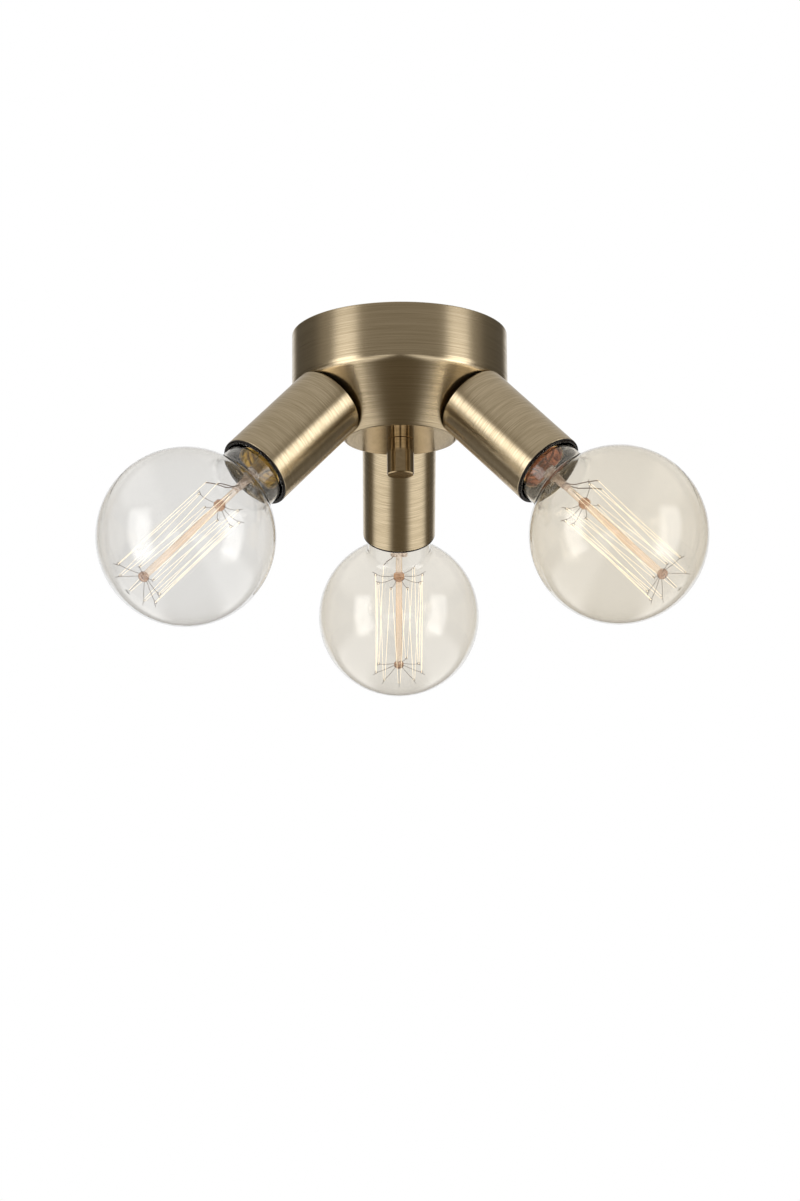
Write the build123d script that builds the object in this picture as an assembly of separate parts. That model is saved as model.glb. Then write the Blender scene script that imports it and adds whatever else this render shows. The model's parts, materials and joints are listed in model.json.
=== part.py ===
from build123d import *
import os
from math import atan2, cos, degrees, pi, radians, sin, sqrt, tan

# Semi flush ceiling light: a spun metal canopy with three socket sleeves that stand square on its
# 45 degree cone, one clear globe lamp screwed into each, and one round nut underneath that holds it up.
# Millimetres, +Z up. The origin is the centre of the canopy's rim, in the plane of the ceiling.
# The rear lamp points along +Y; the left and right lamps stand 120 degrees to each side of it.
# A lamp's own pieces are drawn in a frame of their own: z runs out along its axis, 0 is the cone's face.

# Canopy
canopy_radius = 60.0
drum_height = 31.0  # ceiling to the sharp corner between drum and cone
canopy_height = 60.5
sheet = 1.2
drum_corner_radius = 6.0
disc_edge_radius = 1.5
rim_round = 0.4
lean = 45.0  # the cone's slope, and the sleeves' angle below the horizontal

# Lamps round the canopy: name and bearing from +Y towards +X
lamp_bearings = {"left": -120.0, "right": 120.0, "rear": 0.0}
seat_height = -45.5  # where a sleeve's axis leaves the cone

# Fixing hardware, one metric fine thread throughout
thread_radius = 5.0
thread_clearance = 0.08
thread_chamfer = 0.8
hole_radius = 5.3
face_gap = 0.02  # between two faces that bear on each other
rod_top = -2.5
rod_engagement = 12.5
finial_radius = 7.5
finial_length = 20.0
finial_bore_depth = 16.0
finial_chamfer = 0.5
finial_top_chamfer = 0.3
nut_across_flats = 14.0
nut_thickness = 3.0
nut_chamfer = 0.6

# Mounting bar across the top of the canopy
bar_thickness = 2.0
bar_width = 20.0
bar_half_length = 52.0
bar_corner_radius = 4.0
bar_drop = 8.0
bridge_half_length = 18.0
step_run = 5.0
slot_spacing = 74.0
slot_length = 20.0
slot_width = 5.5
bridge_top = -bar_drop
bridge_bottom = -bar_drop - bar_thickness

# Earth screw through the bar
earth_screw_x = 13.0
earth_hole_radius = 2.1
screw_radius = 2.0
screw_end = -2.6
screw_head_radius = 4.0
screw_head_height = 2.4
screw_head_round = 1.0
screw_washer_radius = 4.6
screw_washer_thickness = 0.98
screw_slot_width = 1.0
screw_slot_depth = 1.2

# Sleeve, nipple and its washer, along a lamp's axis
sleeve_radius = 21.0
sleeve_wall = 1.0
sleeve_length = 64.0
sleeve_gap = 0.05
nipple_back = -9.0
nipple_front = 12.0
nipple_bore = 3.9
washer_radius = 8.0
washer_thickness = 0.8

# Lampholder, along a lamp's axis
holder_radius = 19.8
holder_thread_step = 1.8
cap_neck_radius = 9.0
cap_neck_end = 5.0
cap_shoulder = 11.0
cap_bore = 8.0
cap_bore_end = 7.4
cap_cavity_radius = 16.2
cap_cavity_floor = 12.6
holder_split = 20.5
insert_seat = 27.5
insert_block_radius = 12.5
insert_back = 21.5
insert_face = 30.0
ledge_radius = 16.6
ledge_thickness = 1.5
body_bore = 18.2
mouth_radius = 19.0
mouth_back = 54.0
mouth_taper = 2.0
bezel_radius = 20.9
bezel_front = 65.2
bezel_round = 0.9
bezel_inner_round = 0.25
terminal_offset = 5.5  # the wire holes each side of the axis

# Screw shell and spring contact of the holder
shell_inner = 13.3
shell_sheet = 0.4
shell_front = 60.7
shell_floor_hole = 8.6
tongue_width = 4.4
tongue_thickness = 0.4
tongue_bend = 1.2

# Globe lamp with a 27 mm screw cap, along a lamp's axis
globe_radius = 47.5
globe_centre = 121.7
glass_wall = 0.8
neck_radius = 18.4
neck_blend = 6.0
neck_start = 66.5
seal_radius = 12.2
seal = 49.5
cap_radius = 13.0
cap_sheet = 0.5
cap_back = 38.0
cap_front = 60.5
cap_floor_hole = 9.0
contact_tip = 34.0
contact_radius = 4.8
contact_height = 1.98
contact_round = 0.9
insulator_hole = 2.2

# Glass stem of the lamp: flare, pinch, rod and the two beads that hold the support wires
stem_radius = 4.0
stem_wall = 0.8
flare_wall = 0.9
flare_end = 62.0
pinch_back = 68.0
pinch_middle = 72.0
pinch_front = 79.0
pinch_width = 10.0
pinch_thickness = 3.6
exhaust_radius = 1.4
exhaust_back = 43.5
rod_radius = 1.9
upper_hub = 94.0
lower_hub = 156.0

# Squirrel cage filament: one wire that runs up and down between two rings of hooks
cage_radius = 14.0
cage_top = upper_hub
cage_bottom = lower_hub + 4.0
cage_pitch = 40.0
cage_runs_down = 8
hook_half_gap = 0.8
filament_width = 0.4
filament_end_drop = 3.0
support_width = 0.5
hook_reach = 0.8
hook_turn = 2.0
lead_offset = 2.4

# Internal wiring
wire_radius = 1.0
wire_pair_offset = 1.2  # half the spacing of a pair inside a nipple
wire_hole_clearance = 0.15
block_size = (25.0, 15.0, 13.0)
block_centre_y = -18.5
block_base = -canopy_height + sheet + face_gap
turret_height = 3.0
turret_width = 6.4
pole_pitch = 8.0
entry_radius = 2.4
entry_height = 6.5
tube_bore = 1.5
tube_bore_depth = 3.2
tube_length = 10.0
screw_spacing = 8.0
block_screw_radius = 1.9
screw_shaft_radius = 2.1
wire_entry_depth = 2.4

solids = {}


def turned(outline, rounds=()):
    """Solid of revolution about z from (radius, height) points, with (radius, height, fillet) rounds."""
    corners = [(radius, 0, height) for radius, height in outline]
    face = make_face(Polyline(*corners, close=True))
    for radius, height, size in rounds:
        corner = face.vertices().sort_by_distance((radius, 0, height))[0]
        face = fillet(corner, size)
    return revolve(face, Axis.Z)


def tube(outer, inner, low, high):
    """Plain round tube on the z axis."""
    return turned([(inner, low), (outer, low), (outer, high), (inner, high)])


def bar(radius, low, high):
    """Plain round bar on the z axis."""
    return tube(radius, 0, low, high)


def box_at(size, low_corner):
    """Box of the given size from its low corner."""
    return Pos(*low_corner) * Box(*size, align=(Align.MIN, Align.MIN, Align.MIN))


def lamp_frame(bearing):
    """Location of a lamp's frame: x climbs the cone, z points out along the sleeve."""
    turn = radians(bearing)
    slope = radians(lean)
    out = Vector(sin(turn), cos(turn), 0)
    up = Vector(0, 0, 1)
    origin = out * seat_radius + up * seat_height
    along = out * cos(slope) - up * sin(slope)
    climb = out * sin(slope) + up * cos(slope)
    return Plane(origin=origin, x_dir=climb, z_dir=along).location


seat_radius = canopy_radius - (-seat_height - drum_height)


def square_wire(points, width):
    """Thin square wire along a polyline with mitred corners."""
    path = Polyline(*points)
    section = Plane(origin=path @ 0, z_dir=path % 0) * Rectangle(width, width)
    return sweep(section, path=path, transition=Transition.RIGHT)


def round_wire(points, radius):
    """Insulated wire through hand-set points, each bend as large as its two runs allow."""
    vectors = [Vector(*p) for p in points]
    bends = []
    for before, corner, after in zip(vectors, vectors[1:], vectors[2:]):
        run_in, run_out = corner - before, after - corner
        half_turn = radians(run_in.get_angle(run_out)) / 2
        bends.append(0.45 * min(run_in.length, run_out.length) / tan(half_turn))
    path = FilletPolyline(*vectors, radius=bends)
    section = Plane(origin=path @ 0, z_dir=path % 0) * Circle(radius)
    print("wire", round(path.length, 1), "mm, tightest bend", round(min(bends), 1), "mm")
    return sweep(section, path=path)


def hex_nut(low, high):
    """Hexagon nut on the z axis with chamfered corners and its bore."""
    half_flats = nut_across_flats / 2
    corner_radius = half_flats / cos(pi / 6)
    prism = extrude(Pos(0, 0, low) * RegularPolygon(corner_radius, 6), high - low)
    chamfers = turned([
        (0, low), (half_flats, low), (corner_radius, low + nut_chamfer),
        (corner_radius, high - nut_chamfer), (half_flats, high), (0, high),
    ])
    return (prism & chamfers) - bar(thread_radius + thread_clearance, low - 1, high + 1)


# --- Mounting bar: a steel strip stepped down in the middle so that a nut fits above it ---
def mounting_bar():
    # the under side is shifted at each corner, so the strip keeps its thickness through the steps
    shift = bar_thickness * tan(atan2(bar_drop, step_run) / 2)
    step_top = bridge_half_length + step_run
    half_top = [(bridge_half_length, bridge_top), (step_top, 0), (bar_half_length, 0)]
    half_bottom = [
        (bar_half_length, -bar_thickness),
        (step_top + shift, -bar_thickness),
        (bridge_half_length + shift, bridge_bottom),
    ]
    right = half_top + half_bottom
    left = [(-x, z) for x, z in reversed(right)]
    outline = [(x, 0, z) for x, z in right + left]
    strip = extrude(make_face(Polyline(*outline, close=True)), bar_width / 2, both=True)
    strip = fillet(strip.edges().filter_by(Axis.Z), bar_corner_radius)
    for side in (-1, 1):
        slot = Pos(side * slot_spacing / 2, 0, 0) * SlotOverall(slot_length, slot_width)
        strip -= extrude(slot, 2 * bar_thickness, both=True)
    through = (bridge_bottom - 1, bridge_top + 1)
    strip -= bar(thread_radius + thread_clearance, *through)
    strip -= Pos(earth_screw_x, 0, 0) * bar(earth_hole_radius, *through)
    return strip


# --- Centre rod, threaded all along, which hangs the canopy from the bar ---
def centre_rod():
    bottom = -canopy_height - rod_engagement
    tip = thread_radius - thread_chamfer
    return turned([
        (0, bottom), (tip, bottom), (thread_radius, bottom + thread_chamfer),
        (thread_radius, rod_top - thread_chamfer), (tip, rod_top), (0, rod_top),
    ])


# --- The rod's two nuts, one above and one under the bar ---
def rod_nuts():
    above = hex_nut(bridge_top + face_gap, bridge_top + face_gap + nut_thickness)
    below = hex_nut(bridge_bottom - face_gap - nut_thickness, bridge_bottom - face_gap)
    return Compound([above.solid(), below.solid()])


# --- Earth screw with its washer, up through the bar beside the rod ---
def earth_screw():
    head_top = bridge_bottom - screw_washer_thickness - face_gap
    head_bottom = head_top - screw_head_height
    head = turned(
        [
            (0, head_bottom), (screw_head_radius, head_bottom),
            (screw_head_radius, head_top), (0, head_top),
        ],
        rounds=[(screw_head_radius, head_bottom, screw_head_round)],
    )
    washer = bar(screw_washer_radius, head_top, bridge_bottom - face_gap)
    shank = bar(screw_radius, head_top, screw_end)
    slot = Pos(0, 0, head_bottom) * Box(3 * screw_head_radius, screw_slot_width, 2 * screw_slot_depth)
    return Pos(earth_screw_x, 0, 0) * (head + washer + shank - slot)


# --- Canopy: one piece of spun sheet, drum, cone and flat bottom, with a hole for each nipple ---
def canopy_shell():
    slope_shift = tan(radians(lean / 2))
    disc_radius = canopy_radius - (canopy_height - drum_height)
    inner_corner = -drum_height + sheet * slope_shift
    shell = turned(
        [
            (canopy_radius, 0),
            (canopy_radius, -drum_height),
            (disc_radius, -canopy_height),
            (hole_radius, -canopy_height),
            (hole_radius, -canopy_height + sheet),
            (disc_radius - sheet * slope_shift, -canopy_height + sheet),
            (canopy_radius - sheet, inner_corner),
            (canopy_radius - sheet, 0),
        ],
        rounds=[
            (canopy_radius, -drum_height, drum_corner_radius),
            (disc_radius, -canopy_height, disc_edge_radius),
            (canopy_radius - sheet, inner_corner, drum_corner_radius - sheet),
            (canopy_radius, 0, rim_round),
        ],
    )
    for bearing in lamp_bearings.values():
        shell -= lamp_frame(bearing) * bar(hole_radius, -3 * sheet, 3 * sheet)
    return shell


# --- Finial: the round nut under the canopy, bored blind from above ---
def finial():
    top = -canopy_height - face_gap
    bottom = top - finial_length
    bore = thread_radius + thread_clearance
    return turned([
        (bore, top),
        (finial_radius - finial_top_chamfer, top),
        (finial_radius, top - finial_top_chamfer),
        (finial_radius, bottom + finial_chamfer),
        (finial_radius - finial_chamfer, bottom),
        (0, bottom),
        (0, top - finial_bore_depth),
        (bore, top - finial_bore_depth),
    ])


solids["mounting_bar"] = mounting_bar()
solids["centre_rod"] = centre_rod()
solids["rod_nuts"] = rod_nuts()
solids["earth_screw"] = earth_screw()
solids["canopy_shell"] = canopy_shell()
solids["finial"] = finial()


# --- Nipple with its washer and nut, which clamp a sleeve to the cone ---
# A flat washer in the hollow of the cone bears on its two edges, so it sits a little off the sheet.
cone_curve_radius = seat_radius / cos(radians(lean)) - sheet
washer_seat = -sheet - washer_radius ** 2 / (2 * cone_curve_radius) - sleeve_gap
washer_back = washer_seat - washer_thickness

# The right lamp's nut also holds the earth tag
tag_thickness = 0.8
tag_front = washer_back - face_gap
nut_faces = {"left": tag_front, "rear": tag_front, "right": tag_front - tag_thickness - face_gap}


def nipple():
    return tube(thread_radius, nipple_bore, nipple_back, nipple_front)


def nipple_washer():
    return tube(washer_radius, thread_radius + thread_clearance, washer_back, washer_seat)


nuts = []
washers = []
for name, bearing in lamp_bearings.items():
    place = lamp_frame(bearing)
    nuts.append((place * hex_nut(nut_faces[name] - nut_thickness, nut_faces[name])).solid())
    washers.append((place * nipple_washer()).solid())
solids["nipple_nuts"] = Compound(nuts)
solids["nipple_washers"] = Compound(washers)


# --- Sleeve: a flat-ended metal cup with a hole for the nipple ---
def sleeve():
    floor = sleeve_gap + sleeve_wall
    inside = sleeve_radius - sleeve_wall
    return turned(
        [
            (hole_radius, sleeve_gap), (sleeve_radius, sleeve_gap), (sleeve_radius, sleeve_length),
            (inside, sleeve_length), (inside, floor), (hole_radius, floor),
        ],
        rounds=[(sleeve_radius, sleeve_gap, rim_round), (sleeve_radius, sleeve_length, rim_round)],
    )


# --- Holder cap: moulded dome that screws on the nipple, with the thread for the holder's body ---
spigot_radius = holder_radius - holder_thread_step


def holder_cap():
    seat = sleeve_gap + sleeve_wall + face_gap
    bore = thread_radius + thread_clearance
    return turned(
        [
            (bore, seat), (cap_neck_radius, seat), (cap_neck_radius, cap_neck_end),
            (holder_radius, cap_shoulder), (holder_radius, holder_split),
            (spigot_radius, holder_split), (spigot_radius, insert_seat),
            (cap_cavity_radius, insert_seat), (cap_cavity_radius, cap_cavity_floor),
            (cap_bore, cap_bore_end), (cap_bore, nipple_front), (bore, nipple_front),
        ],
        rounds=[
            (cap_neck_radius, cap_neck_end, 2.0), (holder_radius, cap_shoulder, 4.0),
            (cap_cavity_radius, cap_cavity_floor, 3.0),
        ],
    )


# --- Holder body: black moulded barrel whose ledge holds the insert and whose bezel caps the sleeve ---
def holder_body():
    thread = spigot_radius + thread_clearance
    rear = holder_split + face_gap
    ledge = insert_face + face_gap
    seat = sleeve_length + face_gap
    return turned(
        [
            (thread, rear), (holder_radius, rear), (holder_radius, seat), (bezel_radius, seat),
            (bezel_radius, bezel_front), (mouth_radius, bezel_front), (mouth_radius, mouth_back),
            (body_bore, mouth_back - mouth_taper), (body_bore, ledge + ledge_thickness),
            (ledge_radius, ledge + ledge_thickness), (ledge_radius, ledge), (thread, ledge),
        ],
        rounds=[
            (bezel_radius, bezel_front, bezel_round), (mouth_radius, bezel_front, bezel_inner_round),
        ],
    )


# --- Holder insert: ceramic block between cap and body, with two wire holes and terminal pockets ---
def holder_insert():
    flange = spigot_radius - thread_clearance
    pocket = (9.0, 4.0, 3.0)
    insert = turned([
        (0, insert_back), (insert_block_radius, insert_back),
        (insert_block_radius, insert_seat + face_gap), (flange, insert_seat + face_gap),
        (flange, insert_face), (0, insert_face),
    ])
    for side in (-1, 1):
        y = side * terminal_offset
        insert -= Pos(0, y, 0) * bar(wire_radius + wire_hole_clearance, insert_back - 1, insert_back + 4)
        insert -= box_at(pocket, (pocket[0] / 2, y - pocket[1] / 2, insert_back - face_gap))
    return insert


# --- Holder shell: rolled brass thread that the lamp screws into ---
def holder_shell():
    outside = shell_inner + shell_sheet
    base = insert_face + face_gap
    return turned([
        (shell_floor_hole, base), (outside, base), (outside, shell_front), (shell_inner, shell_front),
        (shell_inner, base + shell_sheet), (shell_floor_hole, base + shell_sheet),
    ])


# --- Holder contact: bronze tongue riveted to the insert, bent up to the lamp's tip ---
def holder_contact():
    foot = insert_face + face_gap + tongue_thickness / 2
    crown = contact_tip - tongue_thickness / 2 - 0.05
    line = FilletPolyline(
        (-7.2, 0, foot), (-3.6, 0, foot), (-0.6, 0, crown), (2.4, 0, crown - 0.4),
        radius=(tongue_bend, tongue_bend),
    )
    section = Plane(origin=line @ 0, x_dir=(0, 1, 0), z_dir=line % 0)
    tongue = sweep(section * Rectangle(tongue_width, tongue_thickness), path=line)
    rivet = Pos(-5.6, 0, 0) * bar(1.2, foot + 0.1, foot + 0.9)
    return tongue + rivet


# --- Lamp glass: sealed rim, shoulder, neck and globe, blown in one piece with an even wall ---
def glass_surface(wall):
    """Half section of the surface that lies this deep in the wall, from the seal to the crown."""
    globe, neck, blend, rim = globe_radius - wall, neck_radius - wall, neck_blend + wall, seal_radius - wall
    shoulder = cap_front - 0.3
    blend_height = globe_centre - sqrt((globe + blend) ** 2 - (neck + blend) ** 2)
    middle = Vector(0, 0, globe_centre)
    blend_centre = Vector(neck + blend, 0, blend_height)
    touch = middle + (blend_centre - middle) * (globe / (globe + blend))
    bisector = (touch - blend_centre).normalized() + Vector(-1, 0, 0)
    return [
        Line((rim, 0, seal), (rim, 0, shoulder)),
        Spline(
            (rim, 0, shoulder), (neck, 0, neck_start),
            tangents=((0, 0, 1), (0, 0, 1)), tangent_scalars=(0.8, 0.8),
        ),
        Line((neck, 0, neck_start), (neck, 0, blend_height)),
        ThreePointArc((neck, 0, blend_height), blend_centre + bisector.normalized() * blend, touch),
        ThreePointArc(touch, (globe, 0, globe_centre), (0, 0, globe_centre + globe)),
    ]


def bulb_glass():
    rim = Line((seal_radius - glass_wall, 0, seal), (seal_radius, 0, seal))
    crown = globe_centre + globe_radius
    edge = Line((0, 0, crown), (0, 0, crown - glass_wall))
    face = make_face(Curve() + [*glass_surface(0), *glass_surface(glass_wall), rim, edge])
    return revolve(face, Axis.Z)


# --- Lamp cap: rolled brass shell cemented to the glass, open at the back for the insulator ---
def bulb_cap():
    inside = cap_radius - cap_sheet
    return turned([
        (cap_floor_hole, cap_back), (cap_radius - 0.8, cap_back), (cap_radius, cap_back + 1.2),
        (cap_radius, cap_front), (inside, cap_front), (inside, cap_back + 1.4),
        (cap_radius - 1.2, cap_back + cap_sheet), (cap_floor_hole, cap_back + cap_sheet),
    ])


# --- Lamp insulator: black glass button between the cap and its tip contact ---
def bulb_insulator():
    seat = contact_tip + contact_height + face_gap
    edge = cap_floor_hole - 0.1
    return turned([
        (4.9, contact_tip + 0.7), (6.2, contact_tip + 0.7), (11.2, cap_back - face_gap),
        (edge, cap_back - face_gap), (edge, cap_back + 1.5), (insulator_hole, cap_back + 1.5),
        (insulator_hole, seat), (4.9, seat),
    ])


# --- Lamp contact: soldered tip ---
def bulb_contact():
    return turned(
        [
            (0, contact_tip), (contact_radius, contact_tip),
            (contact_radius, contact_tip + contact_height), (0, contact_tip + contact_height),
        ],
        rounds=[(contact_radius, contact_tip, contact_round)],
    )


# --- Lamp stem: flared glass tube, pressed flat round the leads, with a rod and two beads ---
def stem_flare():
    rim = seal_radius - glass_wall - face_gap
    bore = stem_radius - stem_wall
    bore_end = pinch_back - 2.5
    section = [
        Line((rim, 0, seal), (rim, 0, seal + stem_wall)),
        Spline(
            (rim, 0, seal + stem_wall), (stem_radius, 0, flare_end),
            tangents=((-1, 0, 0.35), (0, 0, 1)), tangent_scalars=(1.0, 1.0),
        ),
        Polyline(
            (stem_radius, 0, flare_end), (stem_radius, 0, pinch_back), (0, 0, pinch_back),
            (0, 0, bore_end), (bore, 0, bore_end), (bore, 0, flare_end - stem_wall),
        ),
        Spline(
            (bore, 0, flare_end - stem_wall), (rim - flare_wall, 0, seal),
            tangents=((0, 0, -1), (1, 0, -0.35)), tangent_scalars=(1.0, 1.0),
        ),
        Line((rim - flare_wall, 0, seal), (rim, 0, seal)),
    ]
    return revolve(make_face(Curve() + section), Axis.Z)


def stem_pinch():
    flat = SlotOverall(pinch_width, pinch_thickness, rotation=90)
    round_end = Plane.XY.offset(pinch_back - 0.5) * Circle(stem_radius - 0.1)
    middle = Plane.XY.offset(pinch_middle) * flat
    return loft([round_end, middle]) + extrude(middle, pinch_front - pinch_middle)


def bead(height, radius, half_length):
    """Glass bead fused to the rod, where the support wires are set in."""
    return turned([
        (0, height - half_length), (0.75 * radius, height - half_length), (radius, height - half_length / 2),
        (radius, height + half_length / 2), (0.75 * radius, height + half_length), (0, height + half_length),
    ])


def bulb_stem():
    rod = bar(rod_radius, pinch_front - 2.0, lower_hub + 1.0)
    exhaust = bar(exhaust_radius, exhaust_back, pinch_back - 2.0)
    beads = bead(upper_hub, 3.2, 2.2) + bead(lower_hub, 2.9, 1.8)
    return stem_flare() + stem_pinch() + rod + beads + exhaust


# --- Filament: one unbroken wire, up and down round the cage, with a short crossing at each hook ---
def on_cage(angle, height, radius=cage_radius):
    return Vector(radius * cos(radians(angle)), radius * sin(radians(angle)), height)


def crossing(angle, height):
    """The two corners where the filament crosses one hook, side by side round the cage."""
    spread = degrees(hook_half_gap / cage_radius)
    return [on_cage(angle - spread, height), on_cage(angle + spread, height)]


def bulb_filament():
    clear_of_hook = (support_width + filament_width) / 2 + face_gap
    last = cage_runs_down - 1
    points = [on_cage(0, cage_top - filament_end_drop)]
    for run in range(cage_runs_down):
        points += crossing((run + 0.5) * cage_pitch, cage_bottom + clear_of_hook)
        if run < last:
            points += crossing((run + 1) * cage_pitch, cage_top - clear_of_hook)
    points.append(on_cage(cage_runs_down * cage_pitch, cage_top - filament_end_drop))
    return square_wire(points, filament_width)


# --- Supports: hooks set in the two beads, and the two lead wires down through the pinch ---
def support_paths():
    tip = cage_radius + hook_reach
    curl = tip + 0.6
    for run in range(1, cage_runs_down):
        angle = run * cage_pitch
        yield [on_cage(angle, cage_top, 2.6), on_cage(angle, cage_top, tip),
               on_cage(angle, cage_top - hook_turn, curl)]
    for run in range(cage_runs_down):
        angle = (run + 0.5) * cage_pitch
        yield [on_cage(angle, lower_hub, 2.3), on_cage(angle, cage_bottom, cage_radius - 3.0),
               on_cage(angle, cage_bottom, tip), on_cage(angle, cage_bottom + hook_turn, curl)]
    lead_top = pinch_front + 1.0
    lead_end = cage_top - filament_end_drop - 0.4
    for side, angle in ((1, 0), (-1, cage_runs_down * cage_pitch)):
        yield [(0, side * lead_offset, pinch_middle), (0, side * lead_offset, lead_top),
               on_cage(angle, lead_end)]
    yield [(0, lead_offset, pinch_back - 1.0), (0, lead_offset, seal + 3.0), (0, 12.0, seal - 2.0)]
    yield [(0, -lead_offset, pinch_back - 1.0), (0, -lead_offset, seal - 5.0), (0, 0, cap_back + 0.5),
           (0, 0, contact_tip + contact_height + 0.22)]


def bulb_supports():
    return Compound([square_wire(path, support_width).solid() for path in support_paths()])


per_lamp = {
    "nipple": nipple(),
    "sleeve": sleeve(),
    "holder_cap": holder_cap(),
    "holder_body": holder_body(),
    "holder_insert": holder_insert(),
    "holder_shell": holder_shell(),
    "holder_contact": holder_contact(),
    "bulb_glass": bulb_glass(),
    "bulb_cap": bulb_cap(),
    "bulb_insulator": bulb_insulator(),
    "bulb_contact": bulb_contact(),
    "bulb_stem": bulb_stem(),
    "bulb_supports": bulb_supports(),
    "bulb_filament": bulb_filament(),
}
for name, bearing in lamp_bearings.items():
    for piece, shape in per_lamp.items():
        solids[f"{name}_{piece}"] = lamp_frame(bearing) * shape

# --- Terminal block: a three pole moulding that lies on the canopy's floor in front of the rod ---
poles = [index * pole_pitch for index in (-1, 0, 1)]
entry_z = block_base + entry_height
screw_rows = [block_centre_y - screw_spacing / 2, block_centre_y + screw_spacing / 2]


def entry_plane(x, y):
    """Plane across a pole's tube, facing the rear."""
    return Plane(origin=(x, y, entry_z), z_dir=(0, 1, 0))


def terminal_block():
    length, depth, height = block_size
    front = block_centre_y - depth / 2
    turret_base = block_base + height - turret_height
    block = box_at((length, depth, height - turret_height), (-length / 2, front, block_base))
    for x in poles:
        turret = Pos(x, block_centre_y, turret_base) * SlotOverall(depth - 1.0, turret_width, rotation=90)
        block += extrude(turret, turret_height)
    for x in poles:
        block -= extrude(entry_plane(x, front - 1) * Circle(entry_radius), depth + 2)
        for y in screw_rows:
            block -= Pos(x, y, 0) * bar(screw_shaft_radius, entry_z, block_base + height + 1)
    return block


def terminal_tubes():
    front = block_centre_y - tube_length / 2
    rear_bore = front + tube_length - tube_bore_depth
    tubes = []
    for x in poles:
        body = extrude(entry_plane(x, front) * Circle(entry_radius - face_gap), tube_length)
        body -= extrude(entry_plane(x, front) * Circle(tube_bore), tube_bore_depth)
        body -= extrude(entry_plane(x, rear_bore) * Circle(tube_bore), tube_bore_depth)
        tubes.append(body.solid())
    return Compound(tubes)


def terminal_screws():
    low = entry_z + entry_radius + 0.05
    high = block_base + block_size[2] - 1.2
    screw = bar(block_screw_radius, low, high) - Pos(0, 0, high) * Box(4.4, 0.7, 1.6)
    return Compound([(Pos(x, y, 0) * screw).solid() for x in poles for y in screw_rows])


solids["terminal_block"] = terminal_block()
solids["terminal_tubes"] = terminal_tubes()
solids["terminal_screws"] = terminal_screws()

# --- Wiring: a brown and a blue wire from each holder to the block, and one earth wire to a tag ---
# Offsets of the three wires that share one entry, across and up, as they lie in the round hole
bundle = {"left": (-1.1, -0.65), "right": (1.1, -0.65), "rear": (0.0, 1.25)}
sides = {"brown": -1, "blue": 1}
block_front = block_centre_y - block_size[1] / 2
drop_y = block_front - 6.0
wire_end_y = block_front + wire_entry_depth

# Hand-laid middle stretches inside the canopy, from a lamp's nipple to above the block's front
near_route = [(-25, -19, -31), (-18, -24.5, -29.5), (-12, -30, -33)]
far_route_high = [(-25, -14, -27.5), (-15, -19, -22.5), (-4, -27, -22.5), (4.5, -32.3, -29)]
far_route_low = [(-25, -14, -31), (-15, -19.5, -27.5), (-4, -27.5, -28), (4.5, -32, -34)]
rear_route = [
    (-4, 30, -30.5), (-9.5, 18, -26), (-11, 4, -25),
    (-10, -10, -25.5), (-8.6, -21, -28), (-8, -29, -34),
]


def mirrored(route):
    return [(-x, y, z) for x, y, z in route]


routes = {
    ("left", "brown"): near_route,
    ("left", "blue"): far_route_high,
    ("right", "brown"): mirrored(far_route_low),
    ("right", "blue"): mirrored(near_route),
    ("rear", "brown"): rear_route,
    ("rear", "blue"): mirrored(rear_route),
}


def lamp_wire(name, colour):
    """One wire from its hole in the insert, down the nipple, to its pole of the block."""
    side = sides[colour]
    place = lamp_frame(lamp_bearings[name])
    inside = [
        (0, side * terminal_offset, insert_back + 3.9),
        (0, side * terminal_offset, insert_back - 3.0),
        (0, side * wire_pair_offset, nipple_front + 1.5),
        (0, side * wire_pair_offset, nipple_back - 5.0),
    ]
    start = [(place * Pos(*point)).position for point in inside]
    across, up = bundle[name]
    x, y, z = side * pole_pitch + across, drop_y + up, entry_z + up
    finish = [(x, y, z + 10), (x, y, z), (x, wire_end_y, z)]
    return round_wire([*start, *routes[name, colour], *finish], wire_radius)


# --- Earth tag under the right lamp's nut, its barrel up the slope towards the front, and its wire ---
tag_turn = 60.0
tag_ring_radius = 7.6
tag_width = 4.0
barrel_radius = 1.6
barrel_height = tag_front - tag_thickness - 1.2
barrel_start = 9.0
barrel_end = 15.5


def tag_frame():
    return lamp_frame(lamp_bearings["right"]) * Rot(0, 0, tag_turn)


def earth_tag():
    back = tag_front - tag_thickness
    ring = tube(tag_ring_radius, thread_radius + thread_clearance, back, tag_front)
    tab = box_at((tag_width, tag_width, tag_thickness), (tag_ring_radius - 1, -tag_width / 2, back))
    along = Plane(origin=(barrel_start, 0, barrel_height), z_dir=(1, 0, 0))
    barrel = extrude(along * Circle(barrel_radius), barrel_end - barrel_start)
    bore = extrude(along * Circle(wire_radius + 2 * face_gap), barrel_end - barrel_start)
    return tag_frame() * (ring + tab + barrel - bore)


def earth_wire():
    in_barrel = [(barrel_start + 1, 0, barrel_height), (barrel_end + 3, 0, barrel_height)]
    start = [(tag_frame() * Pos(*point)).position for point in in_barrel]
    loop = [(30, -41, -32), (20, -42.5, -32), (10, -41, -36), (3, -37, -43)]
    finish = [(0, drop_y - 1.5, entry_z), (0, wire_end_y, entry_z)]
    return round_wire([*start, *loop, *finish], wire_radius)


for colour in sides:
    solids[f"{colour}_wires"] = Compound([lamp_wire(name, colour).solid() for name in lamp_bearings])
solids["earth_tag"] = earth_tag()
solids["earth_wire"] = earth_wire()

os.makedirs("parts", exist_ok=True)
for name, shape in solids.items():
    export_step(shape, f"parts/{name}.step")
    print(name, "volume", round(shape.volume, 1))
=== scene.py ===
import json
import random
from math import ceil, cos, pi, radians, sin

import bpy
from mathutils import Matrix, Vector


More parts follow.
